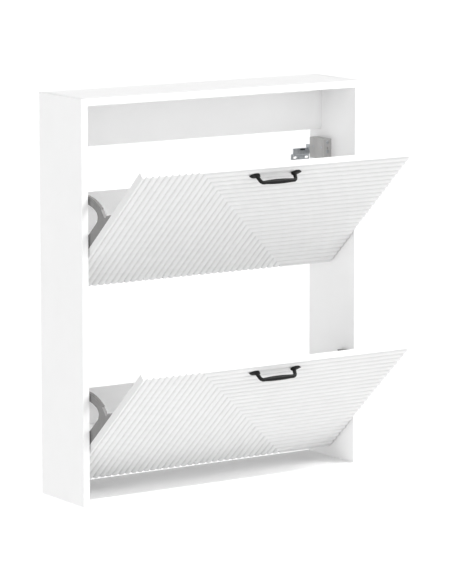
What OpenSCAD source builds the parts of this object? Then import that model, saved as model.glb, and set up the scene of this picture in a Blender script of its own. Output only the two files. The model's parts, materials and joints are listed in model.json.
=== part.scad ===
// Slim wall-hung shoe cabinet with two fluted tilt-out flaps, shown with both flaps open.
// Millimetres. X runs across the cabinet from its centre, Y = 0 is the wall plane with the
// front at -Y, and Z = 0 is the underside.

/* [Cabinet] */
// Overall width
cabinet_w = 730; // [560:1:960]
// Overall height
cabinet_h = 884; // [840:1:1200]
// Depth from the wall plane to the front edges
cabinet_d = 175; // [145:1:230]
// Thickness of the side, top and bottom boards
board_t = 16; // [15:0.5:20]

/* [Rear rail] */
// Height of the rail under the top board
rail_h = 104; // [60:1:130]
// Distance from the wall plane to the back of the rail
rail_inset = 28; // [20:1:40]

/* [Flaps] */
// Thickness of a flap front
flap_t = 16; // [14:0.5:19]
// Gap between a flap and each side board
flap_side_gap = 2.5; // [2.5:0.1:4]
// Gap under a closed flap
flap_gap_bottom = 4; // [4:0.5:10]
// Gap over a closed flap
flap_gap_top = 17; // [6:0.5:30]
// Angle that a flap tilts out to
open_angle = 48; // [30:1:52]
// Distance from a closed flap's face back to its pivot
pivot_setback = 23; // [22:0.5:28]
// Height of the pivot above the flap's lower edge
pivot_height = 108.5; // [90:0.5:132]

/* [Flutes] */
// Spacing of the milled flutes
flute_pitch = 16.4; // [10:0.1:30]
// Width of the groove between two flutes
groove_w = 8; // [2:0.1:8]
// Depth of the groove between two flutes
groove_depth = 3.6; // [1:0.1:4]
// Distance from the flap's left edge to its first upright groove
first_upright = 10; // [4:0.1:20]
// Distance from the flap's top edge to its first level groove
first_level = 6.5; // [4:0.1:20]
// Number of upright grooves left of the mitre at the flap's top edge
uprights_at_top = 9; // [2:1:20]

/* [Pockets] */
// Thickness of the pocket boards
pocket_board_t = 10; // [8:0.5:12]
// Distance from the flap's lower edge up to the brackets' lower edge
pocket_lift = 13.5; // [10:0.5:30]
// Distance from the pivot up to the top edge of the pocket's back board
pocket_rise = 81; // [60:1:90]

/* [Brackets] */
// Thickness of a bracket
bracket_t = 7; // [6:0.5:9]
// Width of the leg along the flap
leg_w = 22; // [18:0.5:26]
// Width of the curved band
band_w = 18; // [14:0.5:20]
// Width of the brace from the hub to the back leg
brace_w = 20; // [14:0.5:24]
// Radius of the pivot pin
pin_r = 4; // [3:0.1:4.5]
// Radial running clearance of the pivot pin
pin_clear = 0.05; // [0.02:0.01:0.1]
// Gap between the swinging bracket and the wall plane
wall_gap = 6.5; // [4:0.5:12]
// Radius of a stop peg
peg_r = 5; // [4:0.5:6]
// How far a stop peg sits past the middle between the hub and the back leg
peg_offset = 5.9; // [0:0.1:8]

/* [Handles] */
// Spacing of the handle's two screws
handle_spacing = 96; // [64:1:160]
// Distance from the flap's top edge to the handle
handle_drop = 24; // [18:0.5:40]
// How far the bar stands off the flap
handle_reach = 25; // [18:0.5:35]
// Radius of the bar's middle
bar_r = 5.5; // [4.5:0.1:6]

/* [Hangers] */
// Width of a hanger housing
hanger_w = 21; // [18:0.5:26]
// Height of a hanger housing
hanger_h = 46; // [40:1:60]
// Length of a hanger housing
hanger_l = 55; // [45:1:70]
// How far a housing hangs below the middle of the space between the rail and the brackets
hanger_shift = 1.5; // [0:0.1:3]
// Width of a wall plate
plate_w = 50; // [44:1:70]
// Thickness of a wall plate
plate_t = 2; // [1.5:0.1:3]
// Spacing of the two slots in a wall plate
slot_spacing = 32; // [24:1:40]
// Half the width of a slot
slot_r = 2.5; // [2:0.1:3.5]
// Length of a slot
slot_l = 10; // [8:0.5:14]

/* [Hidden] */
$fn = 48;

LOWER = 0;
UPPER = 1;
LEFT = -1;
RIGHT = 1;
// Overrun of a cut past the surface that it opens
eps = 1;

// Carcass
inner_x = cabinet_w / 2 - board_t;
pitch = (cabinet_h - 2 * board_t) / 2;
rail_z = cabinet_h - board_t - rail_h;
dowel_r = 4;
dowel_l = 30;
dowel_depth = 10;
bolt_r = 3;
bolt_depth = 11;
bolt_head_r = 3.4;
bolt_bore_r = 3.8;
cam_r = 7.5;
// Metal left over a bolt's head in its cam
cam_cover = 1.1;
cam_t = board_t / 2 + bolt_head_r + cam_cover;
cam_setback = 34;
joint_inset = 36;
rail_joint_inset = 24;

// Flap, measured from the pivot in the closed flap's own frame
flap_w = cabinet_w - 2 * board_t - 2 * flap_side_gap;
flap_h = pitch - flap_gap_bottom - flap_gap_top;
pivot_y = -cabinet_d + pivot_setback;
flap_back = flap_t - pivot_setback;
flap_top = flap_h - pivot_height;
function pivot_z(level) = board_t + level * pitch + flap_gap_bottom + pivot_height;

// Bracket, measured from the pivot
swing_r = cabinet_d - pivot_setback - wall_gap;
pocket_drop = pivot_height - pocket_lift;
ear_r = swing_r - 1.5;
ear_step = 22;
ear_from = 47;
ear_to = 58.8;
band_r = ear_r - ear_step;
hub_r = 16;
back_y = sqrt(swing_r * swing_r - pocket_drop * pocket_drop);
back_w = 18;
foot_h = 18;
leg_top = band_r - 5;
tab_h = 12;
tab_w = 9;
tab_lip_h = 8;
tab_lip_w = 5;
// Distance past the leg at which the curved band takes over
band_lead = 12;
corner_r = 16;
bracket_x = inner_x - flap_side_gap - bracket_t;
leg_edge = flap_back + leg_w;
band_start = atan2(leg_edge + band_lead, leg_top);

// Pocket boards
back_board_y = back_y - 3 - pocket_board_t;
floor_z = -pocket_drop + 4;

// Fixing ears on the flap's rear face
fix_l = 24;
fix_h = 22;
fix_t = 4;
fix_heights = [-60, 24, leg_top - 18];
fix_screw_r = 1.8;
fix_screw_depth = 10;
fix_head_r = 3.6;
fix_head_t = 2;

// Stop pegs: the leg meets the peg when the flap is closed, the brace when it is open
peg_reach = (hub_r + back_y - back_w) / 2 + peg_offset;
peg_gap = 0.3;
peg_angle = asin((leg_edge + peg_r + peg_gap) / peg_reach);
brace_angle = peg_angle + open_angle + asin((peg_r + peg_gap) / peg_reach);
peg_spigot_r = 4;
spigot_l = 11;

// Pivot hardware
flange_r = 11;
flange_t = 2;
retainer_r = 6;
retainer_t = 2;
retainer_gap = 1;
retainer_thread_r = 2;
retainer_thread_l = 12;
pin_end = bracket_x - retainer_gap;
pocket_screw_r = 1.8;
pocket_screw_l = 30;
pocket_head_r = 3.5;
pocket_head_depth = 2.5;
pocket_head_sink = 0.5;

// Driver recesses
driver_l = 4.8;
driver_w = 1;
driver_depth = 1.3;

// Handles
post_r = 4.2;
bend_x = handle_spacing / 2 - 4;
foot_l = 28;
foot_w = 18;
foot_t = 5;
foot_shift = 6;
bar_end_r = 4.1;
handle_screw_r = 2;
handle_thread_l = 7;
handle_head_r = 3.8;
handle_head_t = 2.2;

// Hangers
hanger_back = -29;
hanger_front = hanger_back - hanger_l;
// Highest point that a swinging bracket reaches under a housing
swing_top = pivot_z(UPPER) + sqrt(swing_r * swing_r - pow(hanger_front - pivot_y, 2));
hanger_z = (rail_z + swing_top - hanger_h) / 2 - hanger_shift;
hanger_top = hanger_z + hanger_h;
hanger_wall = 2.5;
hanger_pin_r = 5;
hanger_pin_l = 10;
hanger_pins = [hanger_front + 2 * hanger_pin_r, hanger_back - 3 * hanger_pin_r];
hanger_pin_z = hanger_z + hanger_h / 2 + 3;
rivet_r = 2.6;
rivet_t = 0.8;
screw_x = inner_x - hanger_w / 2;
screw_heights = [hanger_top - 7.5, hanger_top - 29];
screw_r = 4.4;
screw_l = 28;
screw_sink = 1.5;
peep_r = 1.6;
peep_z = hanger_top - 21;

// Wall plates: a lower flange flat on the wall and an upper lip that stands off it
plate_in = inner_x - 3 - plate_w;
plate_z = hanger_z - 8;
plate_flange_h = 13;
plate_lip_h = 14;
plate_stand_off = 8;
plate_top = plate_z + plate_flange_h + plate_lip_h;
slot_z = plate_z + 5;
slot_mid = plate_in + plate_w - 7 - slot_spacing / 2;
window_l = 14.5;
window_h = 3.5;
window_x = plate_in + plate_w / 2 - 5.5;
window_z = plate_top - 5;
window_depth = 1.4;

// Hooks: the nose reaches down between the wall and the plate's lip
hook_t = 2.5;
hook_x = inner_x - 13;
hook_front = hanger_front + screw_l + 2;
hook_low = hanger_z + 6;
hook_top = plate_top + 8;
nose_z = plate_top - 8;
nose_back = -3;
nose_front = -plate_stand_off + 1;
nose_bevel = 3;
lip_front = -plate_stand_off - plate_t;
lip_gap = 1;

white = "white";
grey = [0.56, 0.56, 0.55];
light_grey = [0.72, 0.72, 0.71];
zinc = [0.6, 0.61, 0.63];
black = [0.1, 0.1, 0.1];

// ---------- Helpers ----------

// Mirrors a right-hand part for the left side
module sided(side) {
    if (side == RIGHT) children();
    else mirror([1, 0, 0]) children();
}

// Places a part drawn round the pivot of a closed flap on the open flap
module on_flap(level) {
    translate([0, pivot_y, pivot_z(level)])
        rotate([open_angle, 0, 0])
            children();
}

// Extrudes a side profile, drawn as [rearward, upward], from x0 to x1
module across(x0, x1) {
    translate([x0, 0, 0])
        rotate([90, 0, 90])
            linear_extrude(x1 - x0)
                children();
}

// Cylinder along X from x0 to x1
module rod_x(r, x0, x1, y = 0, z = 0) {
    translate([x0, y, z])
        rotate([0, 90, 0])
            cylinder(r = r, h = x1 - x0);
}

// Cylinder along Y from y0 to y1
module rod_y(r, y0, y1, x = 0, z = 0) {
    translate([x, y1, z])
        rotate([90, 0, 0])
            cylinder(r = r, h = y1 - y0);
}

// Box from its two corners
module block(low, high) {
    translate(low)
        cube(high - low);
}

// Cross-shaped driver recess, cut into +Z from the origin
module driver_cross() {
    for (turn = [0, 90])
        rotate([0, 0, turn])
            block([-driver_l / 2, -driver_w / 2, -eps], [driver_l / 2, driver_w / 2, driver_depth]);
}

// Pie slice from angle a to b, measured from straight up towards the rear
module slice(r, a, b) {
    steps = 6;
    polygon(concat(
        [[0, 0]],
        [for (i = [0:steps]) let (t = a + (b - a) * i / steps) [r * sin(t), r * cos(t)]]
    ));
}

// ---------- Carcass ----------

// [y, z] places of the joints between a side board and the boards that butt against it
panel_mid_heights = [board_t / 2, cabinet_h - board_t / 2];
rail_y = -rail_inset - board_t / 2;
bolt_places = concat(
    [for (z = panel_mid_heights, y = [-cabinet_d + joint_inset, -joint_inset]) [y, z]],
    [for (z = [rail_z + rail_joint_inset]) [rail_y, z]]
);
dowel_places = concat(
    [for (z = panel_mid_heights) [-cabinet_d / 2, z]],
    [[rail_y, rail_z + rail_h - rail_joint_inset]]
);

module side_panel(side) {
    color(white) sided(side) difference() {
        block([inner_x, -cabinet_d, 0], [inner_x + board_t, 0, cabinet_h]);
        for (p = bolt_places)
            rod_x(bolt_r, inner_x - eps, inner_x + bolt_depth, p[0], p[1]);
        for (p = dowel_places)
            rod_x(dowel_r, inner_x - eps, inner_x + dowel_depth, p[0], p[1]);
        for (level = [LOWER, UPPER]) {
            rod_x(pin_r, inner_x - eps, inner_x + spigot_l, pivot_y, pivot_z(level));
            translate([0, pivot_y, pivot_z(level)])
                rod_x(peg_spigot_r, inner_x - eps, inner_x + spigot_l,
                      peg_reach * sin(peg_angle), peg_reach * cos(peg_angle));
        }
        for (y = hanger_pins)
            rod_x(hanger_pin_r, inner_x - eps, inner_x + hanger_pin_l, y, hanger_pin_z);
    }
}

// Bores for bolts and dowels in both ends of a board between the sides
module end_bores(bolts, dowels) {
    for (side = [LEFT, RIGHT]) sided(side) {
        for (p = bolts)
            rod_x(bolt_bore_r, inner_x - cam_setback, inner_x + eps, p[0], p[1]);
        for (p = dowels)
            rod_x(dowel_r, inner_x - dowel_l + dowel_depth, inner_x + eps, p[0], p[1]);
    }
}

module level_panel(z) {
    mid = z + board_t / 2;
    color(white) difference() {
        block([-inner_x, -cabinet_d, z], [inner_x, 0, z + board_t]);
        end_bores([for (p = bolt_places) if (p[1] == mid) p],
                  [for (p = dowel_places) if (p[1] == mid) p]);
        for (side = [LEFT, RIGHT], y = [-cabinet_d + joint_inset, -joint_inset])
            sided(side)
                translate([inner_x - cam_setback, y, z - eps])
                    cylinder(r = cam_r, h = cam_t + eps);
    }
}

module rear_rail() {
    color(white) difference() {
        block([-inner_x, -rail_inset - board_t, rail_z], [inner_x, -rail_inset, rail_z + rail_h]);
        end_bores([for (p = bolt_places) if (p[0] == rail_y) p],
                  [for (p = dowel_places) if (p[0] == rail_y) p]);
        for (side = [LEFT, RIGHT])
            sided(side)
                rod_y(cam_r, -rail_inset - cam_t, -rail_inset + eps,
                      inner_x - cam_setback, rail_z + rail_joint_inset);
    }
}

module wood_dowels() {
    color("burlywood")
        for (side = [LEFT, RIGHT], p = dowel_places)
            sided(side)
                rod_x(dowel_r, inner_x - dowel_l + dowel_depth, inner_x + dowel_depth, p[0], p[1]);
}

module cam_bolts() {
    color(zinc)
        for (side = [LEFT, RIGHT], p = bolt_places)
            sided(side) {
                rod_x(bolt_r, inner_x - cam_setback + bolt_head_r, inner_x + bolt_depth, p[0], p[1]);
                translate([inner_x - cam_setback, p[0], p[1]])
                    sphere(r = bolt_head_r);
            }
}

// One cam, lying in its bore with its open side towards the bolt
module cam() {
    difference() {
        cylinder(r = cam_r, h = cam_t);
        translate([0, 0, board_t / 2])
            sphere(r = bolt_bore_r);
        rod_x(bolt_bore_r, 0, cam_r + eps, 0, board_t / 2);
        translate([0, 0, -eps])
            cylinder(r = driver_l / 2, h = 2 + eps, $fn = 6);
    }
}

module cam_locks() {
    color(zinc)
        for (side = [LEFT, RIGHT]) sided(side) {
            for (z = [0, cabinet_h - board_t], y = [-cabinet_d + joint_inset, -joint_inset])
                translate([inner_x - cam_setback, y, z])
                    cam();
            translate([inner_x - cam_setback, -rail_inset, rail_z + rail_joint_inset])
                rotate([90, 0, 0])
                    cam();
        }
}

// ---------- Hangers ----------

module hanger_housing(side) {
    color(light_grey) sided(side) difference() {
        union() {
            block([inner_x - hanger_w, hanger_front, hanger_z], [inner_x, hanger_back, hanger_top]);
            for (y = hanger_pins) {
                rod_x(hanger_pin_r, inner_x - eps, inner_x + hanger_pin_l, y, hanger_pin_z);
                rod_x(rivet_r, inner_x - hanger_w - rivet_t, inner_x - hanger_w + eps, y, hanger_pin_z);
            }
        }
        block([inner_x - hanger_w + hanger_wall, hanger_front + hanger_wall, hanger_z - eps],
              [inner_x - hanger_wall, hanger_back + eps, hanger_top - hanger_wall]);
        for (z = screw_heights)
            rod_y(screw_r, hanger_front - eps, hanger_front + hanger_wall + eps, screw_x, z);
        rod_y(peep_r, hanger_front - eps, hanger_front + hanger_wall + eps, screw_x, peep_z);
    }
}

// Steel hook that reaches over the wall plate's lip
module hanger_hook(side) {
    color(zinc) sided(side)
        across(hook_x, hook_x + hook_t)
            polygon([
                [hook_front, hook_low], [hook_front, hook_top],
                [nose_back - 1, hook_top], [nose_back, hook_top - 2],
                [nose_back, nose_z], [nose_front + 1, nose_z],
                [nose_front, nose_z + nose_bevel], [nose_front, plate_top],
                [lip_front - lip_gap, plate_top], [lip_front - lip_gap, plate_top - 4],
                [hanger_back + 2, hook_low]
            ]);
}

module adjusting_screws(side) {
    color(zinc) sided(side)
        for (z = screw_heights)
            difference() {
                rod_y(screw_r, hanger_front + screw_sink, hanger_front + screw_l, screw_x, z);
                translate([screw_x, hanger_front + screw_sink, z])
                    rotate([-90, 0, 0])
                        driver_cross();
            }
}

// Wall plate with a flat flange, two slots and a lip that stands off the wall, with a pressed window
module wall_plate(side) {
    step = plate_z + plate_flange_h;
    color(zinc) sided(side) difference() {
        across(plate_in, plate_in + plate_w)
            polygon([
                [0, plate_z], [0, step], [-plate_stand_off, step + plate_t], [-plate_stand_off, plate_top],
                [-plate_stand_off - plate_t, plate_top], [-plate_stand_off - plate_t, step],
                [-plate_t, step - plate_t], [-plate_t, plate_z]
            ]);
        for (x = [slot_mid - slot_spacing / 2, slot_mid + slot_spacing / 2]) {
            for (end = [-1, 1])
                rod_y(slot_r, -plate_t - eps, eps, x + end * (slot_l / 2 - slot_r), slot_z);
            block([x - slot_l / 2 + slot_r, -plate_t - eps, slot_z - slot_r],
                  [x + slot_l / 2 - slot_r, eps, slot_z + slot_r]);
        }
        block([window_x, -plate_stand_off - plate_t - eps, window_z],
              [window_x + window_l, -plate_stand_off - plate_t + window_depth, window_z + window_h]);
    }
}

// ---------- Pivot hardware ----------

module at_pivots() {
    for (side = [LEFT, RIGHT], level = [LOWER, UPPER])
        sided(side)
            translate([0, pivot_y, pivot_z(level)])
                children();
}

module pivot_pins() {
    color(zinc) at_pivots() difference() {
        union() {
            rod_x(pin_r, pin_end, inner_x + spigot_l);
            rod_x(flange_r, inner_x - flange_t, inner_x);
        }
        rod_x(retainer_thread_r, pin_end - eps, pin_end + retainer_thread_l);
    }
}

module pivot_retainers() {
    color(zinc) at_pivots() difference() {
        union() {
            rod_x(retainer_r, pin_end - retainer_t, pin_end);
            rod_x(retainer_thread_r, pin_end - eps, pin_end + retainer_thread_l);
        }
        translate([pin_end - retainer_t, 0, 0])
            rotate([0, 90, 0])
                driver_cross();
    }
}

module stop_pegs() {
    color(black) at_pivots()
        translate([0, peg_reach * sin(peg_angle), peg_reach * cos(peg_angle)]) {
            rod_x(peg_r, bracket_x + 1, inner_x);
            rod_x(peg_spigot_r, inner_x - eps, inner_x + spigot_l);
        }
}

// ---------- Flaps ----------

// Ridge-shaped cutter for one groove, along +X from the origin, cutting into +Y
module groove(l) {
    rotate([90, 0, 90])
        linear_extrude(l)
            polygon([
                [-eps, -groove_w / 2 - eps], [0, -groove_w / 2], [groove_depth, 0], [0, groove_w / 2],
                [-eps, groove_w / 2 + eps]
            ]);
}

// Flap front in the closed flap's frame: upright flutes turn through a mitre into level flutes
module flap_front(level) {
    left = -flap_w / 2;
    face = -pivot_setback;
    mitre_x = left + first_upright + uprights_at_top * flute_pitch - first_level;
    color(white) on_flap(level) difference() {
        block([left, face, flap_top - flap_h], [-left, flap_back, flap_top]);
        intersection() {
            union()
                for (d = [first_level:flute_pitch:flap_h - groove_w / 2])
                    translate([left - eps, face, flap_top - d])
                        groove(flap_w + 2 * eps);
            mitre_side(mitre_x, 1);
        }
        intersection() {
            union()
                for (x = [first_upright:flute_pitch:flap_w - groove_w / 2])
                    translate([left + x, face, flap_top + eps])
                        rotate([0, 90, 0])
                            groove(flap_h + 2 * eps);
            mitre_side(mitre_x, -1);
        }
        handle_screw_holes();
        for (side = [LEFT, RIGHT], z = fix_heights)
            sided(side)
                rod_y(fix_screw_r, flap_back - fix_screw_depth, flap_back + eps, bracket_x - fix_l / 2, z);
    }
}

// Prism on the right (1) or left (-1) of the 45 degree mitre line through the flap's top at x
module mitre_side(x, dir) {
    far = flap_w + flap_h;
    translate([0, flap_back, 0])
        rotate([90, 0, 0])
            linear_extrude(flap_t + 2 * eps)
                polygon([
                    [x - eps, flap_top + eps], [x + flap_h + eps, flap_top - flap_h - eps],
                    [x + dir * far, flap_top - flap_h - eps], [x + dir * far, flap_top + eps]
                ]);
}

module handle_screw_holes() {
    for (side = [LEFT, RIGHT])
        rod_y(handle_screw_r + 0.2, -pivot_setback - eps, flap_back + eps,
              side * handle_spacing / 2, flap_top - handle_drop);
}

// Side outline of a bracket round its pivot, as [rearward, upward]
module bracket_outline() {
    fillet_x = leg_edge + corner_r;
    fillet = [fillet_x, sqrt(pow(band_r - band_w - corner_r, 2) - pow(fillet_x, 2))];
    // A point inside the band, in line with the pivot and the fillet's centre
    tangent = fillet * (band_r - band_w / 2) / norm(fillet);
    difference() {
        union() {
            // Leg along the flap, with its tab
            translate([flap_back, -pocket_drop])
                square([leg_w, pocket_drop + leg_top]);
            intersection() {
                translate([flap_back, 0])
                    square([leg_w + band_lead, leg_top]);
                difference() {
                    circle(r = swing_r, $fn = 96);
                    circle(r = band_r - band_w, $fn = 96);
                }
            }
            translate([flap_back, leg_top - eps])
                square([tab_w, tab_h + eps]);
            translate([flap_back, leg_top + tab_h - eps])
                square([tab_lip_w, tab_lip_h]);
            // Curved band and the ear that holds the back board's top edge
            intersection() {
                difference() {
                    circle(r = band_r, $fn = 96);
                    circle(r = band_r - band_w, $fn = 96);
                }
                slice(2 * band_r, band_start, ear_to);
            }
            intersection() {
                difference() {
                    circle(r = ear_r, $fn = 96);
                    circle(r = band_r - band_w, $fn = 96);
                }
                slice(2 * ear_r, ear_from, ear_to);
            }
            // Rounded inner corner between the leg and the band
            difference() {
                polygon([[leg_edge - eps, fillet[1]], [leg_edge - eps, leg_top - 1], tangent, fillet]);
                translate(fillet)
                    circle(r = corner_r);
            }
            // Back leg, foot, hub and brace
            translate([back_y - back_w, -pocket_drop])
                square([back_w, pocket_drop + back_y / tan(ear_to)]);
            translate([flap_back, -pocket_drop])
                square([back_y - flap_back, foot_h]);
            intersection() {
                circle(r = hub_r);
                translate([flap_back, -hub_r])
                    square([2 * hub_r, 2 * hub_r]);
            }
            rotate(-brace_angle)
                square([brace_w, back_y - back_w + 8]);
        }
        circle(r = pin_r + pin_clear);
    }
}

module flip_bracket(level, side) {
    color(grey) on_flap(level) sided(side) difference() {
        union() {
            across(bracket_x, bracket_x + bracket_t)
                bracket_outline();
            for (z = fix_heights)
                block([bracket_x - fix_l, flap_back, z - fix_h / 2],
                      [bracket_x + eps, flap_back + fix_t, z + fix_h / 2]);
        }
        for (z = fix_heights)
            rod_y(fix_screw_r + 0.2, flap_back - eps, flap_back + fix_t + eps, bracket_x - fix_l / 2, z);
        for (p = pocket_screw_places)
            rod_x(pocket_screw_r + 0.2, bracket_x - eps, bracket_x + bracket_t + eps, p[0], p[1]);
        for (p = pocket_screw_places)
            rod_x(pocket_head_r, bracket_x + bracket_t - pocket_head_depth,
                  bracket_x + bracket_t + eps, p[0], p[1]);
    }
}

// [y, z] places, from the pivot, of the screws through a bracket into the ends of the boards
pocket_screw_places = [
    [back_board_y + pocket_board_t / 2, 30],
    [back_board_y + pocket_board_t / 2, -40],
    [14, floor_z + pocket_board_t / 2],
    [back_board_y - 24, floor_z + pocket_board_t / 2]
];

module pocket_screws(level) {
    color(zinc) on_flap(level)
        for (side = [LEFT, RIGHT], p = pocket_screw_places)
            sided(side) {
                rod_x(pocket_screw_r, bracket_x + bracket_t - pocket_screw_l,
                      bracket_x + bracket_t - pocket_head_sink, p[0], p[1]);
                rod_x(pocket_head_r, bracket_x + bracket_t - pocket_head_depth,
                      bracket_x + bracket_t - pocket_head_sink, p[0], p[1]);
            }
}

// Bores for the pocket screws in the ends of a pocket board
module pocket_bores() {
    for (side = [LEFT, RIGHT], p = pocket_screw_places)
        sided(side)
            rod_x(pocket_screw_r, bracket_x + bracket_t - pocket_screw_l, bracket_x + eps, p[0], p[1]);
}

module pocket_back(level) {
    color(white) on_flap(level) difference() {
        block([-bracket_x, back_board_y, floor_z + pocket_board_t],
              [bracket_x, back_board_y + pocket_board_t, pocket_rise]);
        pocket_bores();
    }
}

module pocket_floor(level) {
    color(white) on_flap(level) difference() {
        block([-bracket_x, flap_back, floor_z],
              [bracket_x, back_board_y + pocket_board_t, floor_z + pocket_board_t]);
        pocket_bores();
    }
}

module bracket_screws(level) {
    color(zinc) on_flap(level)
        for (side = [LEFT, RIGHT], z = fix_heights)
            sided(side) {
                rod_y(fix_screw_r, flap_back - fix_screw_depth, flap_back + fix_t + eps,
                      bracket_x - fix_l / 2, z);
                rod_y(fix_head_r, flap_back + fix_t, flap_back + fix_t + fix_head_t,
                      bracket_x - fix_l / 2, z);
            }
}

// ---------- Handles ----------

// Bow handle round its own axis: feet on y = 0, bar at -handle_reach
module handle(level) {
    color(black) on_flap(level)
        translate([0, -pivot_setback, flap_top - handle_drop])
            difference() {
                union() {
                    rotate([0, 90, 0])
                        translate([0, 0, -bend_x])
                            translate([0, -handle_reach + bar_r, 0])
                                handle_bar();
                    for (side = [LEFT, RIGHT]) sided(side) {
                        rod_y(post_r, -handle_reach + bar_r, 0, handle_spacing / 2);
                        translate([bend_x, -handle_reach + bar_r, 0])
                            sphere(r = bar_end_r, $fn = 32);
                        rod_x(bar_end_r, bend_x, handle_spacing / 2, -handle_reach + bar_r);
                        translate([handle_spacing / 2, -handle_reach + bar_r, 0])
                            sphere(r = post_r, $fn = 32);
                        handle_foot();
                    }
                }
                for (side = [LEFT, RIGHT])
                    rod_y(handle_screw_r, -handle_thread_l, eps, side * handle_spacing / 2);
            }
}

// Spindle-shaped bar, thickest in its middle, standing on its axis
module handle_bar() {
    steps = 8;
    rotate_extrude()
        polygon(concat(
            [[0, 0]],
            [for (i = [0:steps])
                [bar_end_r + (bar_r - bar_end_r) * sin(180 * i / steps), 2 * bend_x * i / steps]],
            [[0, 2 * bend_x]]
        ));
}

// Leaf-shaped foot: two arcs that meet in a point, domed in front
module handle_foot() {
    bow_r = (foot_l * foot_l / 4 + foot_w * foot_w / 4) / foot_w;
    dome_r = (foot_l * foot_l / 4 + foot_t * foot_t) / (2 * foot_t);
    translate([handle_spacing / 2 + foot_shift, 0, 0])
        intersection() {
            rotate([90, 0, 0])
                linear_extrude(foot_t)
                    intersection_for (dir = [-1, 1])
                        translate([0, dir * (bow_r - foot_w / 2)])
                            circle(r = bow_r, $fn = 96);
            translate([0, dome_r - foot_t, 0])
                sphere(r = dome_r, $fn = 64);
        }
}

module handle_screws(level) {
    color(zinc) on_flap(level)
        for (side = [LEFT, RIGHT]) {
            rod_y(handle_screw_r, -pivot_setback - handle_thread_l + 0.5, flap_back + eps,
                  side * handle_spacing / 2, flap_top - handle_drop);
            rod_y(handle_head_r, flap_back, flap_back + handle_head_t,
                  side * handle_spacing / 2, flap_top - handle_drop);
        }
}

side_panel(LEFT);  // left_side_panel
side_panel(RIGHT);  // right_side_panel
level_panel(cabinet_h - board_t);  // top_panel
level_panel(0);  // bottom_panel
rear_rail();
wood_dowels();
cam_bolts();
cam_locks();
hanger_housing(LEFT);  // left_hanger_housing
hanger_housing(RIGHT);  // right_hanger_housing
hanger_hook(LEFT);  // left_hanger_hook
hanger_hook(RIGHT);  // right_hanger_hook
adjusting_screws(LEFT);  // left_adjusting_screws
adjusting_screws(RIGHT);  // right_adjusting_screws
wall_plate(LEFT);  // left_wall_plate
wall_plate(RIGHT);  // right_wall_plate
pivot_pins();
pivot_retainers();
stop_pegs();
flap_front(UPPER);  // upper_flap_front
flip_bracket(UPPER, LEFT);  // upper_left_bracket
flip_bracket(UPPER, RIGHT);  // upper_right_bracket
pocket_back(UPPER);  // upper_pocket_back
pocket_floor(UPPER);  // upper_pocket_floor
bracket_screws(UPPER);  // upper_bracket_screws
pocket_screws(UPPER);  // upper_pocket_screws
handle(UPPER);  // upper_handle
handle_screws(UPPER);  // upper_handle_screws
flap_front(LOWER);  // lower_flap_front
flip_bracket(LOWER, LEFT);  // lower_left_bracket
flip_bracket(LOWER, RIGHT);  // lower_right_bracket
pocket_back(LOWER);  // lower_pocket_back
pocket_floor(LOWER);  // lower_pocket_floor
bracket_screws(LOWER);  // lower_bracket_screws
pocket_screws(LOWER);  // lower_pocket_screws
handle(LOWER);  // lower_handle
handle_screws(LOWER);  // lower_handle_screws
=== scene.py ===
"""Looks of a slim wall-hung shoe cabinet with two fluted tilt-out flaps.

Metres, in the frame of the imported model: X runs across the cabinet, Y = 0 is the wall plane with
the front at -Y, and Z = 0 is the underside. Both flaps are open at rest.
"""

import json
import math

import bmesh
import bpy
from mathutils import Matrix, Vector


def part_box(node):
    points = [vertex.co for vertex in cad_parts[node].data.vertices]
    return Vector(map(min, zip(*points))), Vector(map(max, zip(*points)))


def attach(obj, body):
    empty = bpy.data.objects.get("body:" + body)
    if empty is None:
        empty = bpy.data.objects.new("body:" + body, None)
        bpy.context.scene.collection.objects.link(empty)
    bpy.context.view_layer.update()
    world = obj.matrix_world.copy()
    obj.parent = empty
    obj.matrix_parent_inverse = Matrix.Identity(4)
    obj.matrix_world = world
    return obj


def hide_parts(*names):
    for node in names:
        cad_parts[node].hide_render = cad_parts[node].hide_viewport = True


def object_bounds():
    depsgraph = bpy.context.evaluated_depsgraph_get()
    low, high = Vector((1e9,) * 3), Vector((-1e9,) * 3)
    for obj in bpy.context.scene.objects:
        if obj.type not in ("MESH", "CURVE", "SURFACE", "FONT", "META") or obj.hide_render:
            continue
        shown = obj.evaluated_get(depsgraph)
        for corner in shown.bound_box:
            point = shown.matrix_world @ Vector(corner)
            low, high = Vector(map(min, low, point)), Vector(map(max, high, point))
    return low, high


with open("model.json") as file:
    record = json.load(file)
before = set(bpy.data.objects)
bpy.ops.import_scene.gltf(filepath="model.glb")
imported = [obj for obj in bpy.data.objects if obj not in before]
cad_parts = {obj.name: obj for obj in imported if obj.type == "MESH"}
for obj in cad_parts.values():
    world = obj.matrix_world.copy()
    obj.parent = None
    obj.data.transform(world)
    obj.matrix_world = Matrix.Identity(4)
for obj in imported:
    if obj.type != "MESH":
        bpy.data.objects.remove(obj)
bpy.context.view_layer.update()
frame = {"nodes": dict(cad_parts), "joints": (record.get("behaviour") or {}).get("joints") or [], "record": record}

MM = 0.001
LEVELS = ("lower", "upper")
SIDES = ("left", "right")
NODES = frame["nodes"]
BODIES = frame["record"]["behaviour"]["bodies"]
BODY_OF = {node: body for body, nodes in BODIES.items() for node in nodes}

# ---------- Camera ----------

CAMERA_AZIMUTH = math.radians(-33.7)
CAMERA_ELEVATION = math.radians(9.15)
CAMERA_DISTANCE = 7.75
CAMERA_LENS = 218.5
# Where the camera looks, from the middle of the model
CAMERA_AIM = Vector((-7, 4, -1)) * MM


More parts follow.
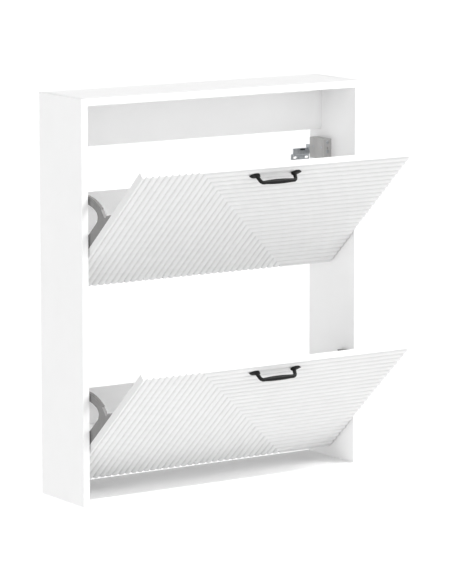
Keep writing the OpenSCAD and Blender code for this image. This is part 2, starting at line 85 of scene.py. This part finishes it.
def make_camera():
    """Camera with a long lens, a little above the cabinet and off to its left."""
    low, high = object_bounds()
    target = (low + high) / 2 + CAMERA_AIM
    level = math.cos(CAMERA_ELEVATION)
    back = Vector((
        math.sin(CAMERA_AZIMUTH) * level,
        -math.cos(CAMERA_AZIMUTH) * level,
        math.sin(CAMERA_ELEVATION),
    ))
    camera = bpy.data.objects.new("camera", bpy.data.cameras.new("camera"))
    camera.data.lens = CAMERA_LENS
    camera.data.clip_end = 200
    camera.location = target + back * CAMERA_DISTANCE
    camera.rotation_mode = "QUATERNION"
    camera.rotation_quaternion = (-back).to_track_quat("-Z", "Y")
    bpy.context.scene.collection.objects.link(camera)
    bpy.context.scene.camera = camera


# ---------- Materials ----------

# Range that holds nearly all values of a noise
NOISE_LOW = 0.3
NOISE_HIGH = 0.7


def new_material(name, colour, roughness, metallic=0.0, specular=0.5):
    """Material with one Principled shader."""
    material = bpy.data.materials.new(name)
    material.use_nodes = True
    shader = material.node_tree.nodes["Principled BSDF"]
    shader.inputs["Base Color"].default_value = (*colour, 1)
    shader.inputs["Roughness"].default_value = roughness
    shader.inputs["Metallic"].default_value = metallic
    shader.inputs["Specular IOR Level"].default_value = specular
    return material


def grain(material, size, detail=3.0, stretch=(1, 1, 1)):
    """Noise with features of about that size, in the piece's own coordinates."""
    nodes, links = material.node_tree.nodes, material.node_tree.links
    place = nodes.new("ShaderNodeTexCoord")
    mapping = nodes.new("ShaderNodeMapping")
    mapping.inputs["Scale"].default_value = stretch
    texture = nodes.new("ShaderNodeTexNoise")
    texture.inputs["Scale"].default_value = 1 / size
    texture.inputs["Detail"].default_value = detail
    links.new(place.outputs["Object"], mapping.inputs["Vector"])
    links.new(mapping.outputs["Vector"], texture.inputs["Vector"])
    return texture.outputs["Fac"]


def spread(material, value, low, high):
    """Number between low and high that follows a noise."""
    nodes, links = material.node_tree.nodes, material.node_tree.links
    reach = nodes.new("ShaderNodeMapRange")
    reach.inputs["From Min"].default_value = NOISE_LOW
    reach.inputs["From Max"].default_value = NOISE_HIGH
    reach.inputs["To Min"].default_value = low
    reach.inputs["To Max"].default_value = high
    links.new(value, reach.inputs["Value"])
    return reach.outputs["Result"]


def tint(material, value, dark, light):
    """Base colour that runs from dark to light with a noise."""
    nodes, links = material.node_tree.nodes, material.node_tree.links
    mix = nodes.new("ShaderNodeMix")
    mix.data_type = "RGBA"
    mix.inputs["A"].default_value = (*dark, 1)
    mix.inputs["B"].default_value = (*light, 1)
    links.new(spread(material, value, 0, 1), mix.inputs["Factor"])
    links.new(mix.outputs["Result"], nodes["Principled BSDF"].inputs["Base Color"])


def dull(material, value, low, high):
    """Roughness that follows a noise."""
    shader = material.node_tree.nodes["Principled BSDF"]
    material.node_tree.links.new(spread(material, value, low, high), shader.inputs["Roughness"])


def relief(material, value, depth):
    """Bumps of that depth that follow a noise, on top of any bumps made before."""
    nodes, links = material.node_tree.nodes, material.node_tree.links
    normal = nodes["Principled BSDF"].inputs["Normal"]
    bump = nodes.new("ShaderNodeBump")
    bump.inputs["Distance"].default_value = depth
    if normal.links:
        links.new(normal.links[0].from_socket, bump.inputs["Normal"])
    links.new(value, bump.inputs["Height"])
    links.new(bump.outputs["Normal"], normal)


def grey(value, warmth=0.0):
    """Neutral colour, a little warmer or cooler."""
    return (value * (1 + warmth), value, value * (1 - warmth))


def white_melamine():
    """Board face: pressed melamine with a fine pearl texture."""
    m = new_material("white_melamine", grey(0.96), 0.42, specular=0.35)
    tint(m, grain(m, 60 * MM, 5), grey(0.95), grey(0.97))
    dull(m, grain(m, 9 * MM), 0.38, 0.48)
    relief(m, grain(m, 1.6 * MM, 2), 0.05 * MM)
    relief(m, grain(m, 0.5 * MM, 1), 0.015 * MM)
    return m


def edge_band():
    """Plastic strip glued along a board's edges, a little glossier than its face."""
    m = new_material("white_edge_band", grey(0.95), 0.34, specular=0.4)
    tint(m, grain(m, 25 * MM, 4), grey(0.94), grey(0.96))
    dull(m, grain(m, 4 * MM), 0.30, 0.38)
    relief(m, grain(m, 3 * MM, 2), 0.03 * MM)
    return m


def chipboard():
    """Raw board inside a bore."""
    m = new_material("raw_chipboard", (0.5, 0.36, 0.22), 0.9, specular=0.2)
    tint(m, grain(m, 1.8 * MM, 6, (1, 1, 2)), (0.33, 0.22, 0.12), (0.62, 0.47, 0.3))
    relief(m, grain(m, 1.2 * MM, 4), 0.3 * MM)
    return m


# Mesh attribute that runs from 0 on a rib's crown to 1 at the bottom of a groove, and sets the foil's painted
# shade
GROOVE = "groove"
# Factor on the foil's colour at a groove's bottom: painted shade in the grooves
GROOVE_PAINTED_SHADE = 0.85


def fluted_foil():
    """Flap front: matt white foil pressed over the milled flutes, with painted shade that darkens the grooves."""
    m = new_material("white_matt_foil", grey(0.82), 0.5, specular=0.3)
    tint(m, grain(m, 45 * MM, 5), grey(0.81), grey(0.83))
    dull(m, grain(m, 7 * MM), 0.46, 0.56)
    relief(m, grain(m, 0.9 * MM, 2), 0.02 * MM)
    nodes, links = m.node_tree.nodes, m.node_tree.links
    base = nodes["Principled BSDF"].inputs["Base Color"]
    groove = nodes.new("ShaderNodeAttribute")
    groove.attribute_name = GROOVE
    # Painted shade: the foil's colour is multiplied darker towards the bottom of each groove
    shade = nodes.new("ShaderNodeMix")
    shade.data_type = "RGBA"
    shade.blend_type = "MULTIPLY"
    shade.inputs["B"].default_value = (*grey(GROOVE_PAINTED_SHADE), 1)
    links.new(groove.outputs["Fac"], shade.inputs["Factor"])
    links.new(base.links[0].from_socket, shade.inputs["A"])
    links.new(shade.outputs["Result"], base)
    return m


def moulded_plastic(name, value, warmth, rough):
    """Fine-grained moulded plastic with a faint flow pattern."""
    m = new_material(name, grey(value, warmth), rough)
    flow = grain(m, 14 * MM, 4, (1, 1, 0.35))
    tint(m, flow, grey(value * 0.94, warmth), grey(value * 1.06, warmth))
    dull(m, grain(m, 3 * MM), rough - 0.05, rough + 0.05)
    relief(m, grain(m, 0.45 * MM, 2), 0.03 * MM)
    return m


def zinc_plate(name, value, rough, spangle):
    """Zinc-plated steel: cloudy crystals in colour and gloss."""
    m = new_material(name, grey(value, -0.04), rough, metallic=1.0)
    tint(m, grain(m, spangle, 2), grey(value * 0.85, -0.05), grey(value * 1.12, -0.03))
    dull(m, grain(m, spangle * 0.6, 3), rough - 0.08, rough + 0.1)
    relief(m, grain(m, 0.6 * MM, 3), 0.02 * MM)
    return m


def black_iron():
    """Handle: cast metal under a black coat, with the coat's slight unevenness."""
    m = new_material("black_iron", grey(0.006), 0.5, specular=0.2)
    tint(m, grain(m, 6 * MM, 5), grey(0.005), grey(0.009))
    dull(m, grain(m, 2.5 * MM), 0.42, 0.56)
    relief(m, grain(m, 3 * MM, 2), 0.25 * MM)
    relief(m, grain(m, 0.6 * MM, 2), 0.04 * MM)
    return m


def beech():
    """Dowels: turned beech with its grain along the dowel."""
    m = new_material("beech", (0.6, 0.42, 0.25), 0.65, specular=0.3)
    tint(m, grain(m, 1.5 * MM, 5, (0.08, 1, 1)), (0.5, 0.33, 0.18), (0.68, 0.5, 0.31))
    relief(m, grain(m, 0.8 * MM, 3, (0.1, 1, 1)), 0.08 * MM)
    return m


BOARD = white_melamine()
BAND = edge_band()
RAW = chipboard()
FOIL = fluted_foil()
GREY_PLASTIC = moulded_plastic("grey_plastic", 0.215, 0.01, 0.42)
HOUSING_PLASTIC = moulded_plastic("light_grey_plastic", 0.47, 0.01, 0.45)
BLACK_PLASTIC = moulded_plastic("black_plastic", 0.03, 0.0, 0.5)
STEEL = zinc_plate("zinc_plated_steel", 0.55, 0.4, 5 * MM)
PLATE_STEEL = zinc_plate("blue_zinc_plate", 0.62, 0.45, 6 * MM)
# Near-black zinc for the bottom of the wall plate's pressed window: painted shade in the recess
PAINTED_SHADE_STEEL = zinc_plate("painted_shade_recess", 0.06, 0.6, 2 * MM)
CAST_ZINC = zinc_plate("cast_zinc", 0.5, 0.45, 2 * MM)
IRON = black_iron()
WOOD = beech()

# ---------- Mesh helpers ----------

# Angle from which an edge counts as sharp
SHARP = math.radians(35)
# Least share of a normal along an axis for a face that looks that way
FACING = 0.99
# Vertices closer than this are one, and faces that turn less than this are one
WELD = 0.002 * MM
FLAT = math.radians(0.5)


def finish_shading(mesh):
    """Smooth shading with hard edges where the surface really turns."""
    bm = bmesh.new()
    bm.from_mesh(mesh)
    for face in bm.faces:
        face.smooth = True
    for edge in bm.edges:
        edge.smooth = edge.is_manifold and edge.calc_face_angle(0) < SHARP
    bm.to_mesh(mesh)
    bm.free()


def add_piece(name, bm, materials, node):
    """Turns a mesh in world coordinates into a piece that stands for a CAD node, on its body."""
    mesh = bpy.data.meshes.new(name)
    bm.to_mesh(mesh)
    bm.free()
    # Normals kept from the CAD mesh would spoil the shading of the rounded edges
    if "custom_normal" in mesh.attributes:
        mesh.attributes.remove(mesh.attributes["custom_normal"])
    for material in materials:
        mesh.materials.append(material)
    finish_shading(mesh)
    piece = bpy.data.objects.new(name, mesh)
    bpy.context.scene.collection.objects.link(piece)
    normals = piece.modifiers.new("even_normals", "WEIGHTED_NORMAL")
    normals.keep_sharp = True
    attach(piece, BODY_OF[node])
    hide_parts(node)


def cad_mesh(node):
    """Copy of a CAD node's mesh with its flat faces made whole."""
    bm = bmesh.new()
    bm.from_mesh(NODES[node].data)
    bmesh.ops.remove_doubles(bm, verts=bm.verts, dist=WELD)
    bmesh.ops.dissolve_limit(bm, angle_limit=FLAT, verts=bm.verts, edges=bm.edges)
    return bm


def ease(bm, width, shortest=0.0):
    """Rounds the sharp edges that are longer than shortest."""
    sharp = [
        e for e in bm.edges
        if e.is_manifold and e.calc_face_angle() > SHARP and e.calc_length() > shortest
    ]
    bmesh.ops.bevel(
        bm, geom=sharp, offset=width, offset_type="OFFSET", segments=3, profile=0.5,
        affect="EDGES", clamp_overlap=True,
    )


def eased(node, width, material, second=None, is_second=None):
    """Piece with a CAD node's shape and rounded edges, and a second finish where is_second says."""
    bm = cad_mesh(node)
    low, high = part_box(node)
    for face in bm.faces:
        chosen = is_second and is_second(face, low, high)
        face.material_index = 1 if chosen else 0
    ease(bm, width)
    materials = [material, second] if second else [material]
    add_piece(node + "_part", bm, materials, node)


# ---------- Boards ----------

BOARD_EASE = 0.7 * MM
BAND_DEPTH = 1.0 * MM
# Edges of the board itself are longer than this, and those of its bores are shorter
BOARD_EDGE = 30 * MM


def board(node, to_local=None):
    """Melamine board with banded edges; bores keep sharp rims and show raw chipboard."""
    to_local = to_local or Matrix.Identity(4)
    bm = cad_mesh(node)
    bmesh.ops.transform(bm, matrix=to_local, verts=bm.verts)
    low = Vector([min(v.co[i] for v in bm.verts) for i in range(3)])
    high = Vector([max(v.co[i] for v in bm.verts) for i in range(3)])
    thin = min(range(3), key=lambda i: high[i] - low[i])
    ease(bm, BOARD_EASE, BOARD_EDGE)
    for face in bm.faces:
        centre = face.calc_center_median()
        on_rim = any(
            min(centre[i] - low[i], high[i] - centre[i]) < BAND_DEPTH for i in range(3) if i != thin
        )
        if abs(face.normal[thin]) > FACING:
            face.material_index = 0
        else:
            face.material_index = 1 if on_rim else 2
    bmesh.ops.transform(bm, matrix=to_local.inverted(), verts=bm.verts)
    add_piece(node + "_board", bm, [BOARD, BAND, RAW], node)


# ---------- Flaps ----------

FLUTE_PITCH = 16.4 * MM
FLUTE_DEPTH = 4.0 * MM
# Roundness of a rib: 1 is a ridge, and more is a flatter crown between narrower grooves
RIB_POWER = 2.4
# First grooves from the flap's left and top edges, and the uprights that reach the top edge
FIRST_UPRIGHT = 10 * MM
FIRST_LEVEL = 6.5 * MM
UPRIGHTS_AT_TOP = 9
# Shares of the way from a rib's crown to its groove, where the face has lines of points
RIB_STEPS = (0.0, 0.3, 0.52, 0.68, 0.8, 0.9, 1.0)
TOP_ROUND = 2.0 * MM
EDGE_ROUND = 1.0 * MM
ROUND_STEPS = (0.0, 0.1, 0.32, 0.64, 1.0)
BACK_EASE = 0.8 * MM
# Middle of the rounded back edge, as a share of its width
BACK_MIDDLE = 0.3


def flap_place(level):
    """Matrix from the closed flap's frame, with its origin on the pivot, to the open flap."""
    joint = next(j for j in frame["joints"] if j["child"] == level + "_flap")
    closed = math.radians(max(joint["range_deg"], key=abs))
    turn = Matrix.Rotation(-closed, 4, Vector(joint["axis"]))
    return Matrix.Translation(Vector(joint["pos_m"])) @ turn


def box_in(node, to_local):
    """Corners of a CAD node in a turned frame."""
    points = [to_local @ v.co for v in NODES[node].data.vertices]
    return [Vector([pick(p[i] for p in points) for i in range(3)]) for pick in (min, max)]


def rib_depth(distance):
    """Depth of the fluted face below its crowns, at a distance from a groove."""
    share = distance / FLUTE_PITCH
    from_crown = 1 - 2 * abs(share - round(share))
    return FLUTE_DEPTH * from_crown ** RIB_POWER


def round_depth(distance, radius):
    """Depth of a rounded edge at a distance from it."""
    rest = max(radius - distance, 0)
    return radius - math.sqrt(radius * radius - rest * rest)


def rib_places(first, start, end):
    """Places across the flutes where the face needs a line of points."""
    places = set()
    first_rib = math.floor((start - first) / FLUTE_PITCH) - 1
    last_rib = math.ceil((end - first) / FLUTE_PITCH) + 1
    for k in range(first_rib, last_rib + 1):
        for step in RIB_STEPS:
            for side in (-1, 1):
                places.add(round(first + (k + side * (1 - step) / 2) * FLUTE_PITCH, 6))
    return {p for p in places if start < p < end}


def round_places(edge, inward, radius):
    """Places where a rounded edge needs a line of points."""
    return {round(edge + inward * radius * step, 6) for step in ROUND_STEPS}


def stitch(bm, chain_a, chain_b):
    """Fills the strip between two chains of (place, point), which run the same way."""
    i = j = 0
    while i < len(chain_a) - 1 or j < len(chain_b) - 1:
        next_a = chain_a[i + 1][0] if i < len(chain_a) - 1 else math.inf
        next_b = chain_b[j + 1][0] if j < len(chain_b) - 1 else math.inf
        corners = [chain_a[i][1]]
        if next_a <= next_b:
            corners.append(chain_a[i + 1][1])
        if next_b <= next_a:
            corners.append(chain_b[j + 1][1])
        corners.append(chain_b[j][1])
        if len(set(corners)) > 2:
            bm.faces.new(list(dict.fromkeys(corners)))
        i, j = i + (next_a <= next_b), j + (next_b <= next_a)


def fluted_face(bm, width, height, left, face, top):
    """Front of a flap: upright flutes that turn through a 45 degree mitre into level flutes."""
    mitre = FIRST_UPRIGHT + UPRIGHTS_AT_TOP * FLUTE_PITCH - FIRST_LEVEL
    top_rows = round_places(0, 1, TOP_ROUND)
    bottom_rows = round_places(height, -1, EDGE_ROUND)
    left_columns = round_places(0, 1, EDGE_ROUND)
    right_columns = round_places(width, -1, EDGE_ROUND)
    level_ribs = rib_places(FIRST_LEVEL, TOP_ROUND, height - EDGE_ROUND)
    rows = sorted(top_rows | bottom_rows | level_ribs)
    upright_ribs = rib_places(FIRST_UPRIGHT, EDGE_ROUND, mitre)
    columns = sorted(left_columns | upright_ribs | {round(mitre + d, 6) for d in rows})
    points = {}
    groove = bm.verts.layers.float.new(GROOVE)

    def point(x, d):
        x, d = round(x, 6), round(d, 6)
        if (x, d) not in points:
            upright = x - mitre <= d
            ribs = rib_depth(x - FIRST_UPRIGHT if upright else d - FIRST_LEVEL)
            depth = max(
                ribs,
                round_depth(x, EDGE_ROUND), round_depth(width - x, EDGE_ROUND),
                round_depth(d, TOP_ROUND), round_depth(height - d, EDGE_ROUND),
            )
            points[x, d] = bm.verts.new((left + x, face + depth, top - d))
            points[x, d][groove] = ribs / FLUTE_DEPTH
        return points[x, d]

    def column(x):
        start = max(0.0, round(x - mitre, 6))
        places = sorted({start} | {d for d in top_rows | bottom_rows if d > start})
        return [(d, point(x, d)) for d in places]

    def row(d):
        start = round(mitre + d, 6)
        return [(x, point(x, d)) for x in sorted({start} | right_columns)]

    for x0, x1 in zip(columns, columns[1:]):
        stitch(bm, column(x0), column(x1))
    for d0, d1 in zip(rows, rows[1:]):
        stitch(bm, row(d0), row(d1))


def flap_front(level):
    """Fluted front with straight edges and an eased, flat back."""
    node = level + "_flap_front"
    place = flap_place(level)
    low, high = box_in(node, place.inverted())
    bm = bmesh.new()
    fluted_face(bm, high.x - low.x, high.z - low.z, low.x, low.y, high.z)
    groove = bm.verts.layers.float[GROOVE]
    back_edge = (
        (high.y - BACK_EASE, 0),
        (high.y - BACK_MIDDLE * BACK_EASE, BACK_MIDDLE * BACK_EASE),
        (high.y, BACK_EASE),
    )
    for y, inset in back_edge:
        rim = [e for e in bm.edges if e.is_boundary]
        walls = bmesh.ops.extrude_edge_only(bm, edges=rim)["geom"]
        for v in (g for g in walls if isinstance(g, bmesh.types.BMVert)):
            v[groove] = 0
            x = min(max(v.co.x, low.x + inset), high.x - inset)
            z = min(max(v.co.z, low.z + inset), high.z - inset)
            v.co = (x, y, z)
    rim = [e for e in bm.edges if e.is_boundary]
    for face in bmesh.ops.contextual_create(bm, geom=rim)["faces"]:
        face.material_index = 1
    bmesh.ops.recalc_face_normals(bm, faces=bm.faces)
    bmesh.ops.transform(bm, matrix=place, verts=bm.verts)
    add_piece(level + "_fluted_front", bm, [FOIL, BOARD], node)


# ---------- Handles ----------

LEAF_L = 28 * MM
LEAF_W = 18 * MM
LEAF_T = 4.6 * MM
BAR_END_R = 4.1 * MM
BAR_MID_R = 5.5 * MM
LEG_R = 4.1 * MM
# Distance from the handle's ends to the middle of a leg's root and to the bend into the bar
LEG_INSET = 20 * MM
BEND_INSET = 26 * MM
# Lean moves a leaf's widest place along it, and blunt fills out its sides
LEAF_LEAN = 0.85
LEAF_BLUNT = 2.3
# Least width and thickness towards a leaf's tip, as shares, and how late it thins
LEAF_TIP_W = 0.04
LEAF_TIP_T = 0.2
LEAF_FALL = 2.2
LEAF_ROWS = 18
LEAF_ROUND = 12
RING_POINTS = 20
PATH_STEPS = 8
# Grain and softening of the skin that joins the handle's parts
CAST_VOXEL = 0.5 * MM
CAST_ROUNDS = 5


def smooth_path(points, steps):
    """Catmull-Rom curve through the points, each (x, y, radius)."""
    ends = [points[0] * 2 - points[1], *points, points[-1] * 2 - points[-2]]
    path = []
    for a, b, c, d in zip(ends, ends[1:], ends[2:], ends[3:]):
        for i in range(steps):
            t = i / steps
            path.append((b * 2 + (c - a) * t + (a * 2 - b * 5 + c * 4 - d) * t ** 2
                         + (b * 3 - a - c * 3 + d) * t ** 3) / 2)
    return path + [points[-1]]


def tube(bm, path):
    """Closed round tube along a path in the XY plane, each point (x, y, radius)."""
    turns = [2 * math.pi * k / RING_POINTS for k in range(RING_POINTS)]
    rings = []
    for i, p in enumerate(path):
        along = path[min(i + 1, len(path) - 1)] - path[max(i - 1, 0)]
        side = Vector((-along.y, along.x, 0)).normalized()
        centre = Vector((p.x, p.y, 0))
        rings.append([
            bm.verts.new(centre + p.z * (side * math.cos(a) + Vector((0, 0, math.sin(a)))))
            for a in turns
        ])
    for a, b in zip(rings, rings[1:]):
        for k in range(RING_POINTS):
            bm.faces.new((a[k - 1], a[k], b[k], b[k - 1]))
    bm.faces.new(rings[0])
    bm.faces.new(rings[-1][::-1])


def leaf(bm, inner, side):
    """Domed foot that runs from a round inner end to a point, flat on y = 0."""
    turns = [math.pi * k / LEAF_ROUND for k in range(LEAF_ROUND + 1)]
    rows = []
    for i in range(LEAF_ROWS + 1):
        t = i / LEAF_ROWS
        x = side * (inner + LEAF_L * t)
        half = LEAF_W / 2 * max(LEAF_TIP_W, 1 - abs(2 * t ** LEAF_LEAN - 1) ** LEAF_BLUNT)
        rise = LEAF_T * max(LEAF_TIP_T, 1 - t ** LEAF_FALL)
        rows.append([bm.verts.new((x, -rise * math.sin(a), -half * math.cos(a))) for a in turns])
    for a, b in zip(rows, rows[1:]):
        for k in range(LEAF_ROUND):
            bm.faces.new((a[k], a[k + 1], b[k + 1], b[k]))
        bm.faces.new((a[0], b[0], b[-1], a[-1]))
    bm.faces.new(rows[0])
    bm.faces.new(rows[-1][::-1])


def weld_casting(bm, voxel, rounds):
    """Melts overlapping closed shells into one skin and softens it, as a casting is."""
    mesh = bpy.data.meshes.new("casting")
    bm.to_mesh(mesh)
    shape = bpy.data.objects.new("casting", mesh)
    bpy.context.scene.collection.objects.link(shape)
    remesh = shape.modifiers.new("skin", "REMESH")
    remesh.mode = "VOXEL"
    remesh.voxel_size = voxel
    soften = shape.modifiers.new("soften", "SMOOTH")
    soften.factor = 0.5
    soften.iterations = rounds
    graph = bpy.context.evaluated_depsgraph_get()
    skin = bpy.data.meshes.new_from_object(shape.evaluated_get(graph))
    bm.clear()
    bm.from_mesh(skin)
    bpy.data.objects.remove(shape)
    bpy.data.meshes.remove(mesh)
    bpy.data.meshes.remove(skin)


def handle(level):
    """Cast bow handle: leaf feet, sloping legs and a spindle-shaped bar."""
    node = level + "_handle"
    place = flap_place(level)
    low, high = box_in(node, place.inverted())
    half = high.x
    bar_y = low.y - high.y + BAR_MID_R
    leg_x = half - LEG_INSET
    bend_x = half - BEND_INSET
    # From the flared root of a leg up to the bar's thick middle, each (x, y, radius)
    half_path = [
        Vector((leg_x + 0.5 * MM, -0.5 * MM, 5.8 * MM)),
        Vector((leg_x, -4 * MM, 4.7 * MM)),
        Vector((leg_x - 1.2 * MM, bar_y * 0.5, LEG_R)),
        Vector((leg_x - 3.2 * MM, bar_y * 0.83, LEG_R)),
        Vector((bend_x - 2 * MM, bar_y, BAR_END_R)),
        Vector((bend_x - 10 * MM, bar_y, BAR_END_R + 0.2 * MM)),
        Vector((bend_x * 0.4, bar_y, BAR_MID_R - 0.3 * MM)),
    ]
    middle = [Vector((0, bar_y, BAR_MID_R))]
    mirrored = [Vector((-p.x, p.y, p.z)) for p in reversed(half_path)]
    bm = bmesh.new()
    tube(bm, smooth_path(half_path + middle + mirrored, PATH_STEPS))
    for side in (-1, 1):
        leaf(bm, half - LEAF_L, side)
    bmesh.ops.recalc_face_normals(bm, faces=bm.faces)
    centre_z = (low.z + high.z) / 2
    bmesh.ops.transform(bm, matrix=Matrix.Translation((0, high.y, centre_z)), verts=bm.verts)
    weld_casting(bm, CAST_VOXEL, CAST_ROUNDS)
    for v in bm.verts:
        v.co.y = min(v.co.y, high.y)
    bmesh.ops.transform(bm, matrix=place, verts=bm.verts)
    add_piece(level + "_bow_handle", bm, [IRON], node)


# ---------- Light and floor ----------

FLOOR_DROP = 0.9
FLOOR_SIZE = 120.0
FLOOR_PARTS = 8
WORLD_STRENGTH = 0.21
# Name, azimuth, elevation and spread in degrees, strength
LIGHTS = (
    ("key_right", 60, 40, 40, 2.75),
    ("fill_left", -60, 8, 40, 0.58),
    ("fill_front", -15, 8, 50, 0.58),
    ("fill_right", 35, 12, 50, 0.36),
    ("rim_left", -120, 30, 60, 0.32),
    ("top", -20, 75, 80, 0.8),
)


def make_floor():
    """Pale floor, well below the wall-hung cabinet."""
    bm = bmesh.new()
    bmesh.ops.create_grid(bm, x_segments=FLOOR_PARTS, y_segments=FLOOR_PARTS, size=FLOOR_SIZE / 2)
    mesh = bpy.data.meshes.new("floor")
    bm.to_mesh(mesh)
    bm.free()
    floor = bpy.data.objects.new("floor", mesh)
    floor.location.z = -FLOOR_DROP
    mesh.materials.append(new_material("pale_floor", grey(0.97), 0.9, specular=0.0))
    bpy.context.scene.collection.objects.link(floor)


def soft_sun(name, azimuth, elevation, spread, strength):
    """Large soft light from a direction; azimuth 0 is the front and 90 the right-hand side."""
    light = bpy.data.lights.new(name, "SUN")
    light.angle = math.radians(spread)
    light.energy = strength
    turn, lift = math.radians(azimuth), math.radians(elevation)
    level = math.cos(lift)
    towards = Vector((math.sin(turn) * level, -math.cos(turn) * level, math.sin(lift)))
    lamp = bpy.data.objects.new(name, light)
    lamp.rotation_mode = "QUATERNION"
    lamp.rotation_quaternion = (-towards).to_track_quat("-Z", "Y")
    bpy.context.scene.collection.objects.link(lamp)


def make_light():
    """White studio with soft light from both sides, from the front and from above."""
    world = bpy.data.worlds.new("studio")
    world.use_nodes = True
    backdrop = world.node_tree.nodes["Background"]
    backdrop.inputs["Color"].default_value = (1, 1, 1, 1)
    backdrop.inputs["Strength"].default_value = WORLD_STRENGTH
    bpy.context.scene.world = world
    bpy.context.scene.view_settings.view_transform = "Standard"
    for light in LIGHTS:
        soft_sun(*light)


# ---------- Hangers ----------

RIVET_RISE = 0.8 * MM
# Thickness of a wall plate's pressed lip
LIP_T = 2 * MM
# Slack when telling a face by where it lies
TOUCH = 0.2 * MM


def is_rivet(face, low, high):
    """Rivet heads stand proud of the housing's side that faces the cabinet's middle."""
    centre = face.calc_center_median()
    inward = min(abs(low.x), abs(high.x))
    return abs(centre.x) < inward + RIVET_RISE - TOUCH


def is_pressed_window(face, low, high):
    """The bottom of the window that is pressed into a wall plate's lip, which gets near-black painted shade."""
    depth = face.calc_center_median().y - low.y
    return face.normal.y < -FACING and TOUCH < depth < LIP_T - TOUCH


def hanger(side):
    """Cabinet hanger, its hook and screws, and the plate on the wall that it holds on to."""
    eased(
        side + "_hanger_housing", 0.6 * MM, HOUSING_PLASTIC,
        STEEL, is_rivet,
    )
    eased(side + "_hanger_hook", 0.3 * MM, STEEL)
    eased(side + "_adjusting_screws", 0.2 * MM, STEEL)
    # The pressed window's bottom gets near-black painted shade
    eased(
        side + "_wall_plate", 0.3 * MM, PLATE_STEEL,
        PAINTED_SHADE_STEEL, is_pressed_window,
    )


# ---------- The cabinet ----------

make_camera()
make_floor()
make_light()

for name in ("left_side_panel", "right_side_panel", "top_panel", "bottom_panel", "rear_rail"):
    board(name)
for level in LEVELS:
    closed = flap_place(level).inverted()
    board(level + "_pocket_back", closed)
    board(level + "_pocket_floor", closed)
    flap_front(level)
    handle(level)
    for side in SIDES:
        eased(level + "_" + side + "_bracket", 0.7 * MM, GREY_PLASTIC)
    for name in ("_bracket_screws", "_pocket_screws", "_handle_screws"):
        eased(level + name, 0.25 * MM, STEEL)
for side in SIDES:
    hanger(side)
eased("pivot_pins", 0.3 * MM, STEEL)
eased("pivot_retainers", 0.3 * MM, STEEL)
eased("stop_pegs", 0.4 * MM, BLACK_PLASTIC)
eased("cam_locks", 0.2 * MM, CAST_ZINC)
for name, material in (("cam_bolts", STEEL), ("wood_dowels", WOOD)):
    NODES[name].data.materials.clear()
    NODES[name].data.materials.append(material)
